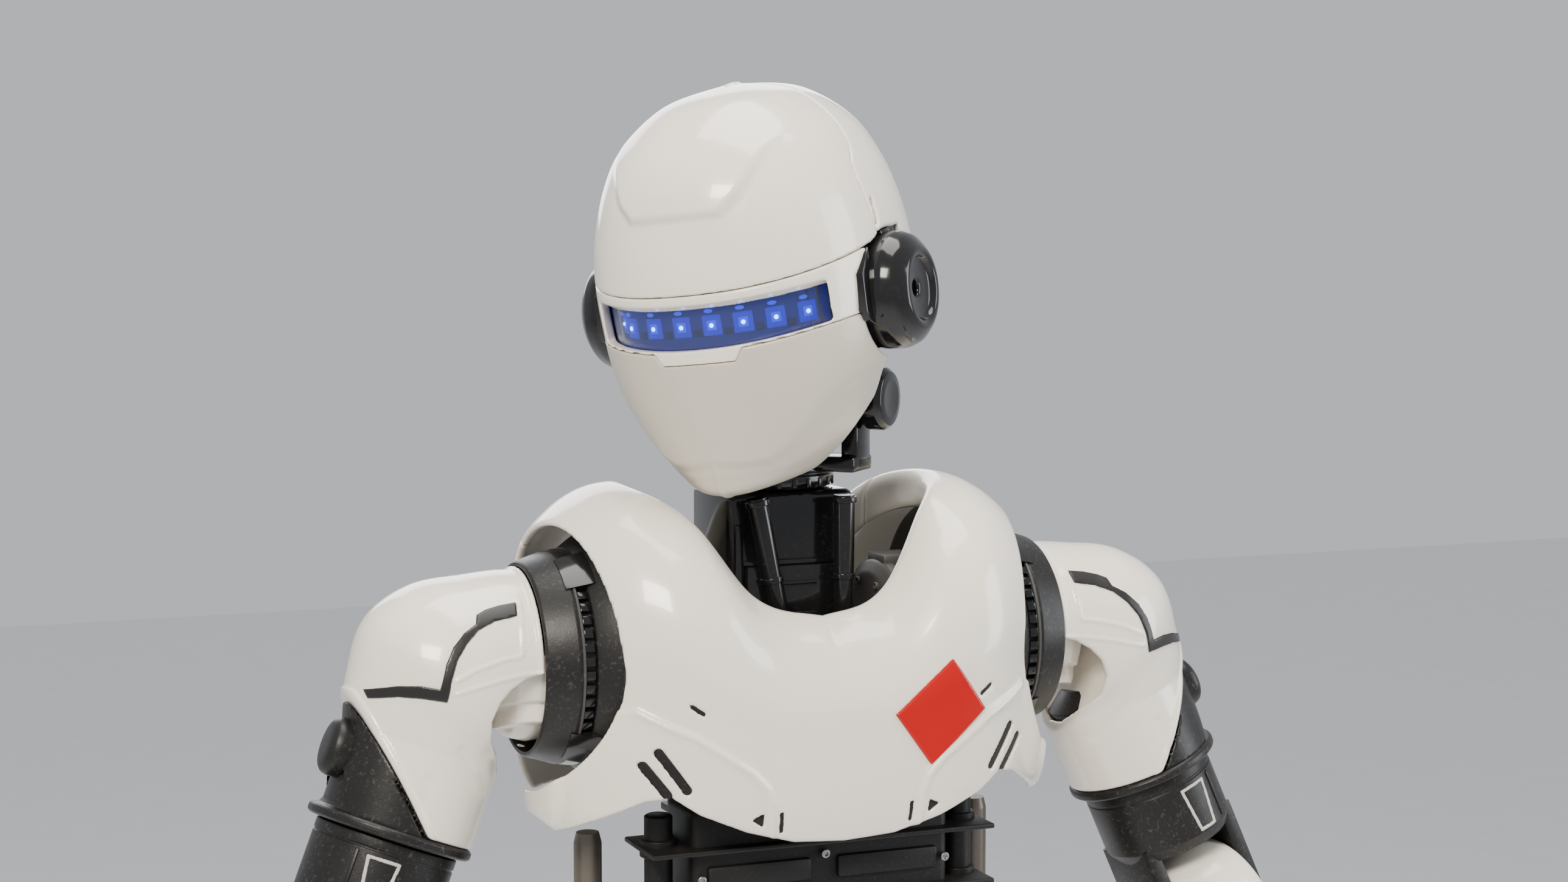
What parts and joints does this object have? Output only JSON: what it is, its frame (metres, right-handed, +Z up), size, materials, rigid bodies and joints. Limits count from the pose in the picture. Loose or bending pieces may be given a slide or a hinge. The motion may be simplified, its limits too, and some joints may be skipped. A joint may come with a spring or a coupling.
{
  "type": "humanoid robot",
  "caption": "Life-size walking humanoid robot with white shell panels, a dark visor, black joints, jointed arms, hands and legs, standing with its head turned.",
  "frame": {"origin": "on the floor, at the middle of the bounding box seen from above", "axes": "+Z up, -Y the way the chest faces, +X towards the robot's own left arm"},
  "size_m": [0.776, 0.4938, 1.6523],
  "materials": {
    "white_shell": "gloss",
    "face_mask": "satin",
    "black_gloss": "gloss",
    "black_plastic": "satin, dusty",
    "motor_cover": "satin",
    "grey_rod": "satin",
    "visor_lens": "gloss",
    "led_strip": "glowing"
  },
  "bodies": {
    "torso": {"abdomen_frame": "black_gloss", "back_shell": "white_shell", "chest_shell": "white_shell", "neck_column": "black_gloss", "neck_tube_left": "black_gloss", "neck_tube_right": "black_gloss", "shoulder_motor_left": "motor_cover", "shoulder_motor_right": "motor_cover", "torso_frame": "black_plastic", "waist_rod_left": "grey_rod", "waist_rod_right": "grey_rod"},
    "ankle_left": {"ankle_block_left": "motor_cover"},
    "ankle_right": {"ankle_block_right": "motor_cover"},
    "head": {"ear_disc_left": "black_gloss", "ear_disc_right": "black_gloss", "face_frame": "white_shell", "face_mask": "face_mask", "head_rear_shell": "white_shell", "helmet_shell": "white_shell", "led_strip": "led_strip", "skull_frame": "black_plastic", "visor_lens": "visor_lens"},
    "finger_row_left": {"fingers_left": "black_plastic"},
    "finger_row_right": {"fingers_right": "black_plastic"},
    "sole_left": {"foot_left": "white_shell"},
    "sole_right": {"foot_right": "white_shell"},
    "forearm_left": {"forearm_core_left": "black_plastic", "forearm_shell_left": "white_shell"},
    "forearm_right": {"forearm_core_right": "black_plastic", "forearm_shell_right": "white_shell"},
    "hip_cross_left": {"hip_block_left": "motor_cover"},
    "hip_cross_right": {"hip_block_right": "motor_cover"},
    "hip_left": {"hip_bracket_left": "black_plastic"},
    "hip_right": {"hip_bracket_right": "black_plastic"},
    "shoulder_left": {"inner_sleeve_left": "white_shell", "shoulder_ring_left": "black_plastic"},
    "shoulder_right": {"inner_sleeve_right": "white_shell", "shoulder_ring_right": "black_plastic"},
    "gimbal": {"neck_cross": "motor_cover"},
    "neck": {"neck_yoke": "black_gloss"},
    "hand_left": {"palm_left": "black_plastic"},
    "hand_right": {"palm_right": "black_plastic"},
    "pelvis": {"pelvis_cover": "white_shell", "pelvis_frame": "black_plastic"},
    "shin_left": {"shin_cover_left": "white_shell", "shin_frame_left": "black_plastic"},
    "shin_right": {"shin_cover_right": "white_shell", "shin_frame_right": "black_plastic"},
    "sleeve_left": {"shoulder_core_left": "black_plastic", "shoulder_cover_left": "white_shell"},
    "sleeve_right": {"shoulder_core_right": "black_plastic", "shoulder_cover_right": "white_shell"},
    "thigh_left": {"thigh_cover_left": "white_shell", "thigh_frame_left": "black_plastic"},
    "thigh_right": {"thigh_cover_right": "white_shell", "thigh_frame_right": "black_plastic"},
    "thumb_body_left": {"thumb_left": "black_plastic"},
    "thumb_body_right": {"thumb_right": "black_plastic"},
    "arm_left": {"upper_arm_left": "black_plastic"},
    "arm_right": {"upper_arm_right": "black_plastic"}
  },
  "joints": [
    {"name": "waist_yaw", "type": "hinge", "parent": "pelvis", "child": "torso", "pos_m": [0, 0.1432, 1.078], "axis": [0, 0, 1], "range_deg": [-45, 45]},
    {"name": "neck_yaw", "type": "hinge", "parent": "torso", "child": "neck", "pos_m": [0, 0.1432, 1.471], "axis": [0, 0, 1], "range_deg": [-14, 106]},
    {"name": "neck_pitch", "type": "hinge", "parent": "neck", "child": "gimbal", "pos_m": [0, 0.1432, 1.471], "axis": [0.6947, -0.7193, 0], "range_deg": [-33, 1]},
    {"name": "neck_roll", "type": "hinge", "parent": "gimbal", "child": "head", "pos_m": [0, 0.1432, 1.471], "axis": [0.7123, 0.6879, 0.1392], "range_deg": [-1.5, 17.5]},
    {"name": "shoulder_pitch_left", "type": "hinge", "parent": "torso", "child": "shoulder_left", "pos_m": [0, 0.1312, 1.328], "axis": [-1, 0, 0], "range_deg": [-50, 130]},
    {"name": "shoulder_roll_left", "type": "hinge", "parent": "shoulder_left", "child": "sleeve_left", "pos_m": [0.199, 0.1312, 1.328], "axis": [0, -0.9945, 0.1045], "range_deg": [-12, 25]},
    {"name": "upper_arm_yaw_left", "type": "hinge", "parent": "sleeve_left", "child": "arm_left", "pos_m": [0.23421, 0.12209, 1.24132], "axis": [-0.3746, 0.0969, 0.9221], "range_deg": [-35, 45]},
    {"name": "elbow_left", "type": "hinge", "parent": "arm_left", "child": "forearm_left", "pos_m": [0.27392, 0.11182, 1.14358], "axis": [-0.9182, -0.1772, -0.3544], "range_deg": [-55, 40]},
    {"name": "wrist_roll_left", "type": "hinge", "parent": "forearm_left", "child": "hand_left", "pos_m": [0.33583, -0.07379, 1.07599], "axis": [-0.2991, 0.8966, 0.3265], "range_deg": [-80, 80]},
    {"name": "finger_curl_left", "type": "hinge", "parent": "hand_left", "child": "finger_row_left", "pos_m": [0.36334, -0.15628, 1.04595], "axis": [0.2599, 0.4058, -0.8762], "range_deg": [-8, 80]},
    {"name": "thumb_curl_left", "type": "hinge", "parent": "hand_left", "child": "thumb_body_left", "pos_m": [0.33318, -0.12155, 1.10673], "axis": [0.2768, 0.1726, -0.9453], "range_deg": [-10, 45]},
    {"name": "hip_yaw_left", "type": "hinge", "parent": "pelvis", "child": "hip_left", "pos_m": [0.09, 0.1432, 0.956], "axis": [0, 0, 1], "range_deg": [-20, 30]},
    {"name": "hip_roll_left", "type": "hinge", "parent": "hip_left", "child": "hip_cross_left", "pos_m": [0.09, 0.1432, 0.91], "axis": [0, 1, 0], "range_deg": [-25, 4]},
    {"name": "hip_pitch_left", "type": "hinge", "parent": "hip_cross_left", "child": "thigh_left", "pos_m": [0.09, 0.1432, 0.87], "axis": [-1, 0, 0], "range_deg": [-25, 75]},
    {"name": "knee_left", "type": "hinge", "parent": "thigh_left", "child": "shin_left", "pos_m": [0.09, 0.1432, 0.48], "axis": [1, 0, 0], "range_deg": [0, 110]},
    {"name": "ankle_pitch_left", "type": "hinge", "parent": "shin_left", "child": "ankle_left", "pos_m": [0.09, 0.1432, 0.118], "axis": [-1, 0, 0], "range_deg": [-35, 20]},
    {"name": "ankle_roll_left", "type": "hinge", "parent": "ankle_left", "child": "sole_left", "pos_m": [0.09, 0.1432, 0.095], "axis": [0, 1, 0], "range_deg": [-15, 15]},
    {"name": "shoulder_pitch_right", "type": "hinge", "parent": "torso", "child": "shoulder_right", "pos_m": [0, 0.1312, 1.328], "axis": [-1, 0, 0], "range_deg": [-50, 130]},
    {"name": "shoulder_roll_right", "type": "hinge", "parent": "shoulder_right", "child": "sleeve_right", "pos_m": [-0.199, 0.1312, 1.328], "axis": [0, 0.9945, -0.1045], "range_deg": [-12, 25]},
    {"name": "upper_arm_yaw_right", "type": "hinge", "parent": "sleeve_right", "child": "arm_right", "pos_m": [-0.23421, 0.12209, 1.24132], "axis": [-0.3746, -0.0969, -0.9221], "range_deg": [-35, 45]},
    {"name": "elbow_right", "type": "hinge", "parent": "arm_right", "child": "forearm_right", "pos_m": [-0.27392, 0.11182, 1.14358], "axis": [-0.9182, 0.1772, 0.3544], "range_deg": [-55, 40]},
    {"name": "wrist_roll_right", "type": "hinge", "parent": "forearm_right", "child": "hand_right", "pos_m": [-0.33583, -0.07379, 1.07599], "axis": [-0.2991, -0.8966, -0.3265], "range_deg": [-80, 80]},
    {"name": "finger_curl_right", "type": "hinge", "parent": "hand_right", "child": "finger_row_right", "pos_m": [-0.36334, -0.15628, 1.04595], "axis": [0.2599, -0.4058, 0.8762], "range_deg": [-8, 80]},
    {"name": "thumb_curl_right", "type": "hinge", "parent": "hand_right", "child": "thumb_body_right", "pos_m": [-0.33318, -0.12155, 1.10673], "axis": [0.2768, -0.1726, 0.9453], "range_deg": [-10, 45]},
    {"name": "hip_yaw_right", "type": "hinge", "parent": "pelvis", "child": "hip_right", "pos_m": [-0.09, 0.1432, 0.956], "axis": [0, 0, -1], "range_deg": [-20, 30]},
    {"name": "hip_roll_right", "type": "hinge", "parent": "hip_right", "child": "hip_cross_right", "pos_m": [-0.09, 0.1432, 0.91], "axis": [0, -1, 0], "range_deg": [-25, 4]},
    {"name": "hip_pitch_right", "type": "hinge", "parent": "hip_cross_right", "child": "thigh_right", "pos_m": [-0.09, 0.1432, 0.87], "axis": [-1, 0, 0], "range_deg": [-25, 75]},
    {"name": "knee_right", "type": "hinge", "parent": "thigh_right", "child": "shin_right", "pos_m": [-0.09, 0.1432, 0.48], "axis": [1, 0, 0], "range_deg": [0, 110]},
    {"name": "ankle_pitch_right", "type": "hinge", "parent": "shin_right", "child": "ankle_right", "pos_m": [-0.09, 0.1432, 0.118], "axis": [-1, 0, 0], "range_deg": [-35, 20]},
    {"name": "ankle_roll_right", "type": "hinge", "parent": "ankle_right", "child": "sole_right", "pos_m": [-0.09, 0.1432, 0.095], "axis": [0, -1, 0], "range_deg": [-15, 15]}
  ]
}
